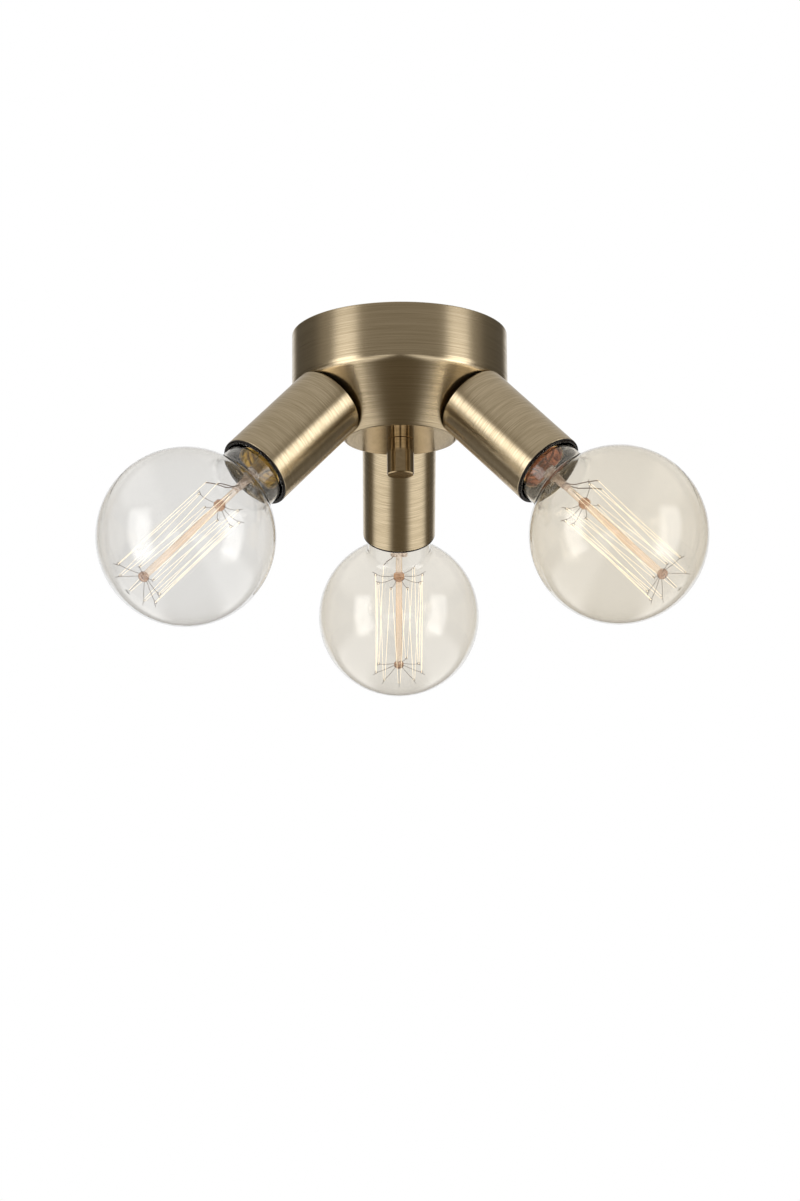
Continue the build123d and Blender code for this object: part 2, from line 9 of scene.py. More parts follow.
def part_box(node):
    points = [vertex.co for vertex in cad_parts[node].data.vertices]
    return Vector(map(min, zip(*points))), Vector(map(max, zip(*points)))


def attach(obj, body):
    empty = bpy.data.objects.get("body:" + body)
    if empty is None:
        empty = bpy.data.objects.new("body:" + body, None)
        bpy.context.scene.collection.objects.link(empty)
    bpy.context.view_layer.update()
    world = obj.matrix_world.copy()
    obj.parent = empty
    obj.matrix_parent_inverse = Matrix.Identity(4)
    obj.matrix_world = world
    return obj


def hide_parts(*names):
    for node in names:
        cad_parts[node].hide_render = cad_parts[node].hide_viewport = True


# Semi flush ceiling light with three sleeves and three clear globe lamps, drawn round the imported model.
# Metres, +Z up. The origin is the centre of the canopy's rim, in the plane of the ceiling.
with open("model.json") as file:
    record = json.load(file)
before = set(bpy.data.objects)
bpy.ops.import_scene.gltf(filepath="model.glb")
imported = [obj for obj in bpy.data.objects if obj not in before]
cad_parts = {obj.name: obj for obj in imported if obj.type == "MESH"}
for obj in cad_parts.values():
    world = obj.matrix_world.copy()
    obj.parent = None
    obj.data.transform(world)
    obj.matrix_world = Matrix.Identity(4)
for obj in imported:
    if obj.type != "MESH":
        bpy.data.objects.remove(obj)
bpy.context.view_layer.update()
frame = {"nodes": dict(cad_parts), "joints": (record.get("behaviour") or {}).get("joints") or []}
bpy.ops.object.select_all(action="DESELECT")

# --- Camera: below and in front of the light, looking up at it ---
# A long lens on a 36 mm frame, 1.5 m away, as the product was photographed.
lens_mm = 84.7
camera_position = (-0.01943, -1.50859, -0.49393)
camera_yaw = radians(0.704)
camera_pitch = radians(12.783)
camera_roll = radians(-0.476)

bpy.ops.object.camera_add(location=camera_position)
camera = bpy.context.object
sight = Vector((sin(camera_yaw) * cos(camera_pitch), cos(camera_yaw) * cos(camera_pitch), sin(camera_pitch)))
level = Vector((cos(camera_yaw), -sin(camera_yaw), 0))
upward = level.cross(sight)
right_side = level * cos(camera_roll) + upward * sin(camera_roll)
top_side = upward * cos(camera_roll) - level * sin(camera_roll)
camera.rotation_euler = Matrix((right_side, top_side, -sight)).transposed().to_euler()
camera.data.lens = lens_mm
camera.data.sensor_width = 36.0
camera.data.clip_start = 0.05
bpy.context.scene.camera = camera
bpy.context.scene.view_settings.view_transform = "Standard"


# --- Room: a pale studio with a tall softbox at each side of the camera and one overhead ---
# The room is white behind the light and dim in front of it, so the metal shows soft bands and pale rims.
def new_node(tree, kind, inputs=(), **settings):
    """Adds a shader node; inputs are pairs of a socket and the value or output that goes into it."""
    made = tree.nodes.new(kind)
    for setting, value in settings.items():
        setattr(made, setting, value)
    for socket, value in inputs:
        if isinstance(value, bpy.types.NodeSocket):
            tree.links.new(value, made.inputs[socket])
        else:
            made.inputs[socket].default_value = value
    return made


def blend_value(tree, factor, low, high):
    """Number that goes from low to high as the factor goes from 0 to 1."""
    return new_node(tree, "ShaderNodeMix", ((0, factor), (2, low), (3, high))).outputs[0]


def calculate(tree, operation, *values):
    """Result of a maths node on these values."""
    return new_node(tree, "ShaderNodeMath", enumerate(values), operation=operation).outputs[0]


def smooth_step(tree, value, start, end, low=0.0, high=1.0):
    """Number that eases from low to high as the value goes from start to end."""
    return new_node(
        tree, "ShaderNodeMapRange", ((0, value), (1, start), (2, end), (3, low), (4, high)),
        interpolation_type="SMOOTHSTEP",
    ).outputs[0]


def blend_tone(tree, factor, low, high):
    """Colour that goes from low to high as the factor goes from 0 to 1."""
    made = new_node(tree, "ShaderNodeMix", ((0, factor), (6, low), (7, high)), data_type="RGBA")
    return made.outputs[2]


fill_level = 0.45
front_level, side_level, ceiling_level, backdrop_level = 0.285, 0.11, 0.62, 1.0
# Between which shares of a direction that point backwards, or up, one part of the room gives way to the next.
wall_span, backdrop_span, ceiling_span = (-0.05, 0.25), (0.76, 0.93), (0.30, 0.62)
white = (1.0, 1.0, 1.0, 1.0)
warm_shade = (1.0, 0.92, 0.80, 1.0)
warm_span = (0.3, 0.9)  # levels between which a mirrored part of the room goes from warm to white

world = bpy.data.worlds.new("studio")
bpy.context.scene.world = world
world.use_nodes = True
room = world.node_tree
ray = new_node(room, "ShaderNodeLightPath").outputs
heading = new_node(room, "ShaderNodeTexCoord").outputs["Generated"]
_, behind, above = new_node(room, "ShaderNodeSeparateXYZ", ((0, heading),)).outputs
walls = smooth_step(room, behind, *wall_span, front_level, side_level)
ceiling = smooth_step(room, above, *ceiling_span)
backdrop = smooth_step(room, behind, *backdrop_span)
mirrored_room = blend_value(room, backdrop, blend_value(room, ceiling, walls, ceiling_level), backdrop_level)
seen = calculate(room, "MAXIMUM", ray["Is Camera Ray"], ray["Is Transmission Ray"])
unseen = blend_value(room, ray["Is Glossy Ray"], fill_level, mirrored_room)
strength = blend_value(room, seen, unseen, 1.0)
room.links.new(strength, room.nodes["Background"].inputs["Strength"])
mirrored_tone = blend_tone(room, smooth_step(room, mirrored_room, *warm_span), warm_shade, white)
room.links.new(
    blend_tone(room, ray["Is Glossy Ray"], white, mirrored_tone), room.nodes["Background"].inputs["Color"],
)

floor_depth = -2.2
floor_size = 30.0
floor_glow_seen, floor_glow_mirrored = 0.62, 0.95
floor_tone, mirrored_floor_tone = (0.34, 0.34, 0.34, 1.0), (0.26, 0.215, 0.15, 1.0)
# The metal mirrors a pool of light on the floor at each side, which fades in and out over these distances.
pool_fade_in, pool_fade_out, pool_fade_back = (0.6, 1.5), (3.4, 6.5), (3.0, 6.0)

bpy.ops.mesh.primitive_plane_add(size=floor_size, location=(0, 0, floor_depth))
floor = bpy.context.object
floor.name = "floor"
floor_paint = bpy.data.materials.new("floor_paint")
floor_paint.use_nodes = True
floor_nodes = floor_paint.node_tree
floor_ray = new_node(floor_nodes, "ShaderNodeLightPath").outputs
floor_seen = calculate(floor_nodes, "MAXIMUM", floor_ray["Is Camera Ray"], floor_ray["Is Transmission Ray"])
floor_spot = new_node(floor_nodes, "ShaderNodeNewGeometry").outputs["Position"]
floor_x, floor_y, _ = new_node(floor_nodes, "ShaderNodeSeparateXYZ", ((0, floor_spot),)).outputs
aside = calculate(floor_nodes, "ABSOLUTE", floor_x)
beside = calculate(
    floor_nodes, "MULTIPLY",
    smooth_step(floor_nodes, aside, *pool_fade_in), smooth_step(floor_nodes, aside, *pool_fade_out, 1.0, 0.0),
)
in_front = smooth_step(floor_nodes, floor_y, *pool_fade_back, 1.0, 0.0)
pool = calculate(floor_nodes, "MULTIPLY", beside, in_front)
mirrored_floor = calculate(floor_nodes, "MULTIPLY", floor_ray["Is Glossy Ray"], pool)
floor_glow = calculate(
    floor_nodes, "ADD", calculate(floor_nodes, "MULTIPLY", floor_seen, floor_glow_seen),
    calculate(floor_nodes, "MULTIPLY", mirrored_floor, floor_glow_mirrored),
)
floor_shader = floor_nodes.nodes["Principled BSDF"]
floor_nodes.links.new(
    blend_tone(floor_nodes, floor_ray["Is Glossy Ray"], floor_tone, mirrored_floor_tone),
    floor_shader.inputs["Base Color"],
)
floor_shader.inputs["Roughness"].default_value = 0.9
floor_shader.inputs["Specular IOR Level"].default_value = 0.0
floor_shader.inputs["Emission Color"].default_value = white
floor_nodes.links.new(floor_glow, floor_shader.inputs["Emission Strength"])
floor.data.materials.append(floor_paint)

aim = Vector((0, 0.01, -0.08))
softbox_bearings = {"softbox_left": -58.0, "softbox_right": 63.0}
softbox_distance = 1.2
softbox_height = -0.21
softbox_size = (0.84, 1.35)
softbox_power = 8.8
softbox_edges = (0.60, 0.35)  # shares of the half width and half height over which a softbox fades out
overhead_place, overhead_size, overhead_power = (0, -0.45, 1.1), (0.9, 0.5), 6.0


def soften(light):
    """Fades an area light out towards its edges, as a softbox does."""
    light.use_nodes = True
    tree = light.node_tree
    spot = new_node(tree, "ShaderNodeNewGeometry").outputs["Parametric"]
    offset = new_node(
        tree, "ShaderNodeVectorMath", ((0, spot), (1, (0.5, 0.5, 0.0))), operation="SUBTRACT",
    ).outputs[0]
    across, up, _ = new_node(tree, "ShaderNodeSeparateXYZ", ((0, offset),)).outputs
    shares = []
    for way, edge in zip((across, up), softbox_edges):
        reach = calculate(tree, "ABSOLUTE", way)
        shares.append(smooth_step(tree, reach, 0.5 * (1 - edge), 0.5, 1.0, 0.0))
    both = calculate(tree, "MULTIPLY", *shares)
    tree.links.new(both, tree.nodes["Emission"].inputs["Strength"])


def softbox(name, place, size, power):
    """Area light with soft edges, which faces the light and is itself out of the picture."""
    bpy.ops.object.light_add(type="AREA", location=place)
    box = bpy.context.object
    box.name = name
    box.rotation_euler = (aim - Vector(place)).to_track_quat("-Z", "Y").to_euler()
    box.data.shape = "RECTANGLE"
    box.data.size, box.data.size_y = size
    box.data.energy = power
    box.visible_camera = False
    soften(box.data)
    return box


for name, bearing in softbox_bearings.items():
    out_x, out_y = sin(radians(bearing)), -cos(radians(bearing))
    place = (softbox_distance * out_x, softbox_distance * out_y, softbox_height)
    softbox(name, place, softbox_size, softbox_power)
overhead = softbox("softbox_top", overhead_place, overhead_size, overhead_power)
overhead.visible_glossy = False
overhead.visible_transmission = False


# --- Fixing hardware: mounting bar, rod, nuts and earth screw ---
# Pressed and rolled steel, bright zinc plated. The bar is screwed to the ceiling, the rod hangs from it
# between two nuts, and the earth screw stands beside it.
def paint(name, sockets):
    """Material with one Principled shader and these values on its sockets."""
    made = bpy.data.materials.new(name)
    made.use_nodes = True
    shader = made.node_tree.nodes["Principled BSDF"]
    for socket, value in sockets.items():
        shader.inputs[socket].default_value = value
    return made


def colour(red, green, blue):
    return (red, green, blue, 1.0)


def ramp(tree, factor, stops):
    """Colour that runs through (place, colour) stops as the factor goes from 0 to 1."""
    made = new_node(tree, "ShaderNodeValToRGB", ((0, factor),))
    while len(made.color_ramp.elements) < len(stops):
        made.color_ramp.elements.new(0.5)
    for element, (place, tone) in zip(made.color_ramp.elements, stops):
        element.position = place
        element.color = tone
    return made.outputs[0]


def mottle(material, scale, detail, tones, roughness, bump=0.0, depth=0.0001):
    """Gives a material a noise in its colour between two tones, in its roughness and in its relief."""
    tree = material.node_tree
    shader = tree.nodes["Principled BSDF"]
    place = new_node(tree, "ShaderNodeTexCoord").outputs["Object"]
    noise = new_node(
        tree, "ShaderNodeTexNoise", (("Vector", place), ("Scale", scale), ("Detail", detail)),
    ).outputs[0]
    tree.links.new(ramp(tree, noise, ((0.3, tones[0]), (0.7, tones[1]))), shader.inputs["Base Color"])
    rough = new_node(
        tree, "ShaderNodeMapRange", ((0, noise), (1, 0.3), (2, 0.7), (3, roughness[0]), (4, roughness[1])),
    ).outputs[0]
    tree.links.new(rough, shader.inputs["Roughness"])
    if bump:
        relief = new_node(
            tree, "ShaderNodeBump", (("Strength", bump), ("Distance", depth), ("Height", noise)),
        ).outputs[0]
        tree.links.new(relief, shader.inputs["Normal"])
    return material


def dress(node, material):
    """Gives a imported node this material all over."""
    for slot in frame["nodes"][node].material_slots:
        slot.material = material


zinc_plate = mottle(
    paint("zinc_plate", {"Metallic": 1.0}), 340.0, 4.0,
    (colour(0.50, 0.52, 0.53), colour(0.68, 0.68, 0.66)), (0.24, 0.40), bump=0.15, depth=0.00005,
)
for node in ("mounting_bar", "rod_nuts", "earth_screw"):
    dress(node, zinc_plate)


def finish_piece(piece, name, body, material, replaced=()):
    """Names a piece, fixes its place in its mesh, paints it and joins it to its body."""
    piece.name = name
    piece.data.name = name
    bpy.ops.object.select_all(action="DESELECT")
    piece.select_set(True)
    bpy.context.view_layer.objects.active = piece
    bpy.ops.object.transform_apply(location=True, rotation=True, scale=True)
    piece.data.materials.clear()
    piece.data.materials.append(material)
    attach(piece, body)
    if replaced:
        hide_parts(*replaced)


def trace(points):
    """Line of edges through (radius, height) points, drawn vertex by vertex from a merged plane."""
    bpy.ops.object.select_all(action="DESELECT")
    bpy.ops.mesh.primitive_plane_add(size=0.001, location=(0, 0, 0))
    bpy.ops.object.mode_set(mode="EDIT")
    bpy.ops.mesh.select_mode(type="VERT")
    bpy.ops.mesh.select_all(action="SELECT")
    bpy.ops.mesh.merge(type="CENTER")
    here = Vector((points[0][0], 0, points[0][1]))
    bpy.ops.transform.translate(value=here)
    for radius, height in points[1:]:
        there = Vector((radius, 0, height))
        bpy.ops.mesh.extrude_vertices_move(TRANSFORM_OT_translate={"value": there - here})
        here = there
    bpy.ops.object.mode_set(mode="OBJECT")
    return bpy.context.object


def apply_modifier(piece, kind, **settings):
    """Adds a modifier to a piece and applies it at once."""
    bpy.context.view_layer.objects.active = piece
    bpy.ops.object.modifier_add(type=kind)
    modifier = piece.modifiers[-1]
    for setting, value in settings.items():
        setattr(modifier, setting, value)
    bpy.ops.object.modifier_apply(modifier=modifier.name)


weld_distance = 2e-6
smooth_angle = radians(35)


def wound_thread(tooth, pitch, low, high, steps, closed=True):
    """Screw thread about Z: one tooth, given as (radius, share of the pitch), wound up and cut square."""
    turns = ceil((high - low) / pitch) + 2
    piece = trace([(radius, low - pitch + share * pitch) for radius, share in tooth])
    apply_modifier(
        piece, "SCREW", screw_offset=pitch, iterations=turns, steps=steps, render_steps=steps,
        use_smooth_shade=True,
    )
    bpy.ops.object.mode_set(mode="EDIT")
    bpy.ops.mesh.select_all(action="SELECT")
    bpy.ops.mesh.remove_doubles(threshold=weld_distance)
    for height, side in ((low, -1), (high, 1)):
        bpy.ops.mesh.select_all(action="SELECT")
        bpy.ops.mesh.bisect(
            plane_co=(0, 0, height), plane_no=(0, 0, side), use_fill=closed, clear_outer=True, threshold=1e-7,
        )
    bpy.ops.mesh.select_all(action="SELECT")
    bpy.ops.mesh.normals_make_consistent(inside=False)
    bpy.ops.object.mode_set(mode="OBJECT")
    bpy.ops.object.shade_smooth_by_angle(angle=smooth_angle)
    return piece


hardware_pitch = 0.001
hardware_root = 0.00445
hardware_steps = 24  # corners in one turn
rod_low, rod_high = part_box("centre_rod")
hardware_crest = rod_high.x
hardware_tooth = (
    (hardware_root, 0.0), (hardware_root, 0.15), (hardware_crest, 0.45),
    (hardware_crest, 0.6), (hardware_root, 0.9), (hardware_root, 1.0),
)
rod = wound_thread(hardware_tooth, hardware_pitch, rod_low.z, rod_high.z, hardware_steps)
finish_piece(rod, "threaded_rod", "mounting", zinc_plate, ["centre_rod"])


# --- Canopy: one piece of spun brass sheet, toned dark and brushed round ---
# It hangs on the rod with its rim against the ceiling. A clear lacquer keeps the antique tone.
brush_grain = 2300.0  # brushed rings per metre
brush_relief, brush_depth = 0.08, 0.00002
streak = 1.4  # how often a ring fades on its way round
fine_share = 0.9  # of the fine rings in the wear; the rest is a broader ring of the same kind
flat_polish = 0.45  # roughness of faces across the axis, against that of faces along it


def turned_metal(
    name, tones, roughness, origin=(0, 0, 0), axis=(0, 0, 1), grain=brush_grain, relief=brush_relief,
):
    """Brushed metal with fine rings round an axis, which stretch its highlights along the axis."""
    material = paint(name, {"Metallic": 1.0, "Anisotropic": 0.35})
    tree = material.node_tree
    shader = tree.nodes["Principled BSDF"]

    def vector(operation, *inputs):
        return new_node(tree, "ShaderNodeVectorMath", enumerate(inputs), operation=operation).outputs

    def rings(fineness, length):
        """Noise in lines that run round the axis: fineness is lines per metre, length how often they end."""
        step = calculate(tree, "MULTIPLY", ring, fineness / length)
        return new_node(
            tree, "ShaderNodeTexNoise",
            (("Vector", bearing), ("W", step), ("Scale", length), ("Detail", 3.0)), noise_dimensions="4D",
        ).outputs[0]

    place = new_node(tree, "ShaderNodeTexCoord").outputs["Object"]
    arm = vector("SUBTRACT", place, tuple(origin))[0]
    height = vector("DOT_PRODUCT", arm, tuple(axis))["Value"]
    along = new_node(
        tree, "ShaderNodeVectorMath", ((0, tuple(axis)), ("Scale", height)), operation="SCALE",
    ).outputs[0]
    spoke = vector("SUBTRACT", arm, along)[0]
    radius = vector("LENGTH", spoke)["Value"]
    bearing = vector("NORMALIZE", spoke)[0]
    ring = calculate(tree, "ADD", height, radius)
    fine = rings(grain, streak)
    broad = rings(grain / 5, streak / 2)
    wear = calculate(
        tree, "ADD", calculate(tree, "MULTIPLY", fine, fine_share),
        calculate(tree, "MULTIPLY", broad, 1 - fine_share),
    )
    tree.links.new(ramp(tree, wear, ((0.36, tones[0]), (0.64, tones[1]))), shader.inputs["Base Color"])
    facing = new_node(tree, "ShaderNodeNewGeometry").outputs["Normal"]
    along_axis = calculate(tree, "ABSOLUTE", vector("DOT_PRODUCT", facing, tuple(axis))["Value"])
    flat_face = smooth_step(tree, along_axis, 0.85, 0.99)
    side_rough = smooth_step(tree, wear, 0.36, 0.62, roughness[1], roughness[0])
    polish = blend_value(tree, flat_face, 1.0, flat_polish)
    tree.links.new(calculate(tree, "MULTIPLY", side_rough, polish), shader.inputs["Roughness"])
    if relief:
        bumps = new_node(
            tree, "ShaderNodeBump", (("Strength", relief), ("Distance", brush_depth), ("Height", fine)),
        ).outputs[0]
        tree.links.new(bumps, shader.inputs["Normal"])
    round_way = vector("CROSS_PRODUCT", tuple(axis), spoke)[0]
    tree.links.new(vector("CROSS_PRODUCT", round_way, facing)[0], shader.inputs["Tangent"])
    return material


brass_tones = (colour(0.45, 0.365, 0.235), colour(0.625, 0.52, 0.36))
brass_roughness = (0.215, 0.26)
canopy_brass = turned_metal("canopy_brass", brass_tones, brass_roughness)
dress("canopy_shell", canopy_brass)


# --- Sleeves: drawn brass cups, brushed round and toned like the canopy, each painted lighter or darker for its light ---
# Each stands square on the cone, clamped by a nipple with a washer and a nut inside the canopy.
joints = {joint["name"]: joint for joint in frame["joints"]}
lamps = ("left", "right", "rear")


def lamp_axis(lamp):
    """Point where a lamp's axis leaves the cone, and the way it points."""
    turn = joints[f"{lamp}_lamp_turn"]
    return Vector(turn["pos_m"]), Vector(turn["axis"])


def lamp_place(lamp):
    """Matrix that stands a piece drawn up the Z axis on a lamp's axis, its X up the cone."""
    seat, out = lamp_axis(lamp)
    climb = Vector((out.x, out.y, -out.z))
    place = Matrix((climb, out.cross(climb), out)).transposed().to_4x4()
    place.translation = seat
    return place


def lighter(tone, share):
    """The same colour, lighter or darker by this share, which paints light or shade on it."""
    return colour(*(min(1.0, value * share) for value in tone[:3]))


# Painted light and shade: each sleeve's brass is made lighter or darker by its share, the rear one lighter
# and the front two darker.
sleeve_painted_light_shares = {"left": 0.90, "right": 0.94, "rear": 1.15}
nipple_bore = 0.0039
nipple_back, nipple_front = -0.009, 0.012
drill_length = 0.06
for lamp in lamps:
    seat, out = lamp_axis(lamp)
    painted_light_sleeve_tones = [lighter(tone, sleeve_painted_light_shares[lamp]) for tone in brass_tones]
    dress(f"{lamp}_sleeve", turned_metal(f"{lamp}_sleeve_brass", painted_light_sleeve_tones, brass_roughness, seat, out))
    nipple = wound_thread(hardware_tooth, hardware_pitch, nipple_back, nipple_front, hardware_steps)
    bpy.ops.mesh.primitive_cylinder_add(radius=nipple_bore, depth=drill_length, vertices=32)
    drill = bpy.context.object
    apply_modifier(nipple, "BOOLEAN", operation="DIFFERENCE", object=drill, solver="EXACT")
    bpy.data.objects.remove(drill)
    nipple.matrix_world = lamp_place(lamp)
    finish_piece(nipple, f"{lamp}_threaded_nipple", "canopy", zinc_plate, [f"{lamp}_nipple"])
for node in ("nipple_nuts", "nipple_washers"):
    dress(node, zinc_plate)

# --- Lampholders: black phenolic cap and body round a ceramic insert, a brass screw shell and a contact ---
# The cap screws on the nipple. The body's bezel closes the sleeve's mouth and its bore shows the lamp's neck.
phenolic = mottle(
    paint("black_phenolic", {"Specular IOR Level": 0.22}), 900.0, 3.0,
    (colour(0.006, 0.003, 0.002), colour(0.012, 0.007, 0.005)), (0.22, 0.34),
)
steatite = mottle(
    paint("steatite", {}), 1500.0, 4.0,
    (colour(0.70, 0.66, 0.57), colour(0.80, 0.77, 0.69)), (0.55, 0.75), bump=0.25, depth=0.00005,
)
shell_brass = mottle(
    paint("shell_brass", {"Metallic": 1.0}), 420.0, 3.0,
    (colour(0.62, 0.40, 0.16), colour(0.80, 0.56, 0.27)), (0.20, 0.34),
)
bronze = mottle(
    paint("contact_bronze", {"Metallic": 1.0}), 700.0, 3.0,
    (colour(0.60, 0.36, 0.19), colour(0.74, 0.48, 0.28)), (0.25, 0.40),
)
for lamp in lamps:
    for piece, material in (
        ("holder_cap", phenolic), ("holder_body", phenolic), ("holder_insert", steatite),
        ("holder_shell", shell_brass), ("holder_contact", bronze),
    ):
        dress(f"{lamp}_{piece}", material)

# --- Wiring: terminal block, brown and blue wires, earth wire with its tag ---
# A natural polyamide block with brass tubes and steel screws, and PVC insulated wires.
nylon = mottle(
    paint("nylon", {"Subsurface Weight": 0.15, "Subsurface Scale": 0.001}), 800.0, 3.0,
    (colour(0.76, 0.75, 0.68), colour(0.84, 0.83, 0.77)), (0.38, 0.50), bump=0.1, depth=0.00005,
)
dress("terminal_block", nylon)
dress("terminal_tubes", shell_brass)
for node in ("terminal_screws", "earth_tag"):
    dress(node, zinc_plate)
insulation_tones = {
    "brown": (colour(0.075, 0.028, 0.012), colour(0.11, 0.042, 0.018)),
    "blue": (colour(0.012, 0.065, 0.30), colour(0.02, 0.10, 0.42)),
}
for wire, tones in insulation_tones.items():
    dress(f"{wire}_wires", mottle(paint(f"{wire}_insulation", {}), 500.0, 3.0, tones, (0.32, 0.46)))

earth_insulation = paint("earth_insulation", {"Roughness": 0.38})
stripe_nodes = earth_insulation.node_tree
facing = new_node(stripe_nodes, "ShaderNodeNewGeometry").outputs["Normal"]
upper_side = new_node(stripe_nodes, "ShaderNodeSeparateXYZ", ((0, facing),)).outputs["Z"]
stripe = ramp(
    stripe_nodes, upper_side,
    ((0.0, colour(0.05, 0.24, 0.045)), (0.34, colour(0.06, 0.27, 0.05)), (0.38, colour(0.72, 0.58, 0.03))),
)
stripe_nodes.links.new(stripe, stripe_nodes.nodes["Principled BSDF"].inputs["Base Color"])
dress("earth_wire", earth_insulation)

# --- Finial: the round nut under the canopy, turned from brass bar ---
# It screws on the rod by hand, and holds the canopy up.
finial_tones = (colour(0.40, 0.30, 0.17), colour(0.52, 0.40, 0.25))
dress("finial", turned_metal("finial_brass", finial_tones, (0.13, 0.18), grain=1200.0, relief=0.0))


# --- Lamps: blown glass globes with a rolled screw cap, a black glass insulator and a soldered tip ---
# The glass is clear with a faint warm tone, a little stronger in the right lamp. The cap's thread is wound.
def globe_glass(name, tint, edge):
    """Thin clear glass, toned where it is seen edge on."""
    material = paint(name, {"Roughness": 0.0, "IOR": 1.45, "Transmission Weight": 1.0})
    tree = material.node_tree
    shader = tree.nodes["Principled BSDF"]
    grazing = new_node(tree, "ShaderNodeLayerWeight", (("Blend", 0.5),)).outputs["Facing"]
    tone = ramp(tree, grazing, ((0.0, tint), (0.80, tint), (0.97, edge)))
    tree.links.new(tone, shader.inputs["Base Color"])
    return material


glass_tones = {
    "left": (colour(0.872, 0.867, 0.855), colour(0.66, 0.66, 0.65)),
    "right": (colour(0.865, 0.835, 0.775), colour(0.62, 0.59, 0.53)),
    "rear": (colour(0.875, 0.855, 0.815), colour(0.66, 0.65, 0.62)),
}
cap_tones = {
    "left": (colour(0.13, 0.07, 0.01), colour(0.82, 0.56, 0.12)),
    "right": (colour(0.14, 0.045, 0.02), colour(0.78, 0.36, 0.20)),
    "rear": (colour(0.13, 0.07, 0.01), colour(0.82, 0.56, 0.12)),
}


# Painted light: the filament's light on the inside of a cap is painted on as emission of this strength.
painted_cap_glow = 0.45  # strength of the filament's light on the inside of a cap


def cap_metal(lamp):
    """Rolled brass, mottled by heat; its inside, which shows through the neck, has the filament's light
    painted on as a glow.
    """
    dark, light = cap_tones[lamp]
    material = paint(f"{lamp}_cap_brass", {"Metallic": 1.0, "Roughness": 0.2})
    tree = material.node_tree
    shader = tree.nodes["Principled BSDF"]
    seat, out = lamp_axis(lamp)
    place = new_node(tree, "ShaderNodeTexCoord").outputs["Object"]
    heat = new_node(
        tree, "ShaderNodeTexNoise",
        (("Vector", place), ("Scale", 260.0), ("Detail", 5.0), ("Distortion", 0.8)),
    ).outputs[0]
    facing = new_node(tree, "ShaderNodeNewGeometry").outputs["Normal"]
    arm = new_node(tree, "ShaderNodeVectorMath", ((0, place), (1, seat)), operation="SUBTRACT").outputs[0]
    outward, forward = (
        new_node(
            tree, "ShaderNodeVectorMath", ((0, facing), (1, other)), operation="DOT_PRODUCT",
        ).outputs["Value"]
        for other in (arm, out)
    )
    inner_wall = smooth_step(tree, outward, -0.004, 0.0, 1.0, 0.0)
    inner_floor = smooth_step(tree, forward, 0.3, 0.8)
    inside = calculate(tree, "MAXIMUM", inner_wall, inner_floor)
    tone = ramp(tree, heat, ((0.36, dark), (0.62, light)))
    brass = ramp(tree, heat, ((0.3, colour(0.60, 0.42, 0.20)), (0.7, colour(0.78, 0.58, 0.32))))
    tree.links.new(blend_tone(tree, inside, brass, tone), shader.inputs["Base Color"])
    # The inside's colour is also the colour of its painted glow.
    tree.links.new(tone, shader.inputs["Emission Color"])
    tree.links.new(calculate(tree, "MULTIPLY", inside, painted_cap_glow), shader.inputs["Emission Strength"])
    return material


vitrite = mottle(
    paint("vitrite", {"Coat Weight": 0.4}), 600.0, 3.0,
    (colour(0.012, 0.012, 0.016), colour(0.03, 0.03, 0.036)), (0.10, 0.2),
)
solder = mottle(
    paint("solder", {"Metallic": 1.0}), 900.0, 4.0,
    (colour(0.52, 0.52, 0.52), colour(0.72, 0.72, 0.71)), (0.28, 0.45), bump=0.4, depth=0.0001,
)
for lamp in lamps:
    tint, edge = glass_tones[lamp]
    dress(f"{lamp}_bulb_glass", globe_glass(f"{lamp}_glass", tint, edge))
    dress(f"{lamp}_bulb_insulator", vitrite)
    dress(f"{lamp}_bulb_contact", solder)


def turned(section, steps):
    """Closed ring: this closed (radius, height) section turned about Z."""
    piece = trace(section)
    apply_modifier(
        piece, "SCREW", steps=steps, render_steps=steps, use_smooth_shade=True, use_merge_vertices=True,
    )
    bpy.ops.object.mode_set(mode="EDIT")
    bpy.ops.mesh.select_all(action="SELECT")
    bpy.ops.mesh.remove_doubles(threshold=weld_distance)
    bpy.ops.mesh.normals_make_consistent(inside=False)
    bpy.ops.object.mode_set(mode="OBJECT")
    bpy.ops.object.shade_smooth_by_angle(angle=smooth_angle)
    return piece


cap_pitch = 0.003629
cap_crest, cap_root = 0.0131, 0.0126
cap_sheet = 0.0003
cap_steps = 64
wave_steps = 10
cap_low, thread_low, thread_high, cap_high = 0.038, 0.0396, 0.0572, 0.0605
cap_middle, cap_wave = (cap_crest + cap_root) / 2, (cap_crest - cap_root) / 2
cap_tooth = [
    (cap_middle - cap_wave * cos(2 * pi * step / wave_steps), step / wave_steps)
    for step in range(wave_steps + 1)
]
cap_floor_section = (
    (0.0090, cap_low), (0.0118, cap_low), (0.0127, cap_low + 0.0006),
    (0.0129, cap_low + 0.0019), (0.0126, cap_low + 0.0019), (0.0124, cap_low + 0.0008),
    (0.0116, cap_low + 0.0005), (0.0090, cap_low + 0.0005), (0.0090, cap_low),
)
cap_collar_section = (
    (0.0126, thread_high - 0.0004), (0.0129, thread_high - 0.0004), (0.0130, thread_high + 0.0006),
    (0.0130, cap_high - 0.0003), (0.0128, cap_high), (0.0126, cap_high), (0.0125, cap_high - 0.0004),
    (0.0125, thread_high + 0.0004), (0.0126, thread_high - 0.0004),
)
for lamp in lamps:
    cap = wound_thread(cap_tooth, cap_pitch, thread_low, thread_high, cap_steps, closed=False)
    apply_modifier(cap, "SOLIDIFY", thickness=cap_sheet, offset=-1.0)
    for section in (cap_floor_section, cap_collar_section):
        ring = turned(section, cap_steps)
        bpy.ops.object.select_all(action="DESELECT")
        ring.select_set(True)
        cap.select_set(True)
        bpy.context.view_layer.objects.active = cap
        bpy.ops.object.join()
    cap.matrix_world = lamp_place(lamp)
    finish_piece(cap, f"{lamp}_screw_cap", f"{lamp}_lamp", cap_metal(lamp), [f"{lamp}_bulb_cap"])


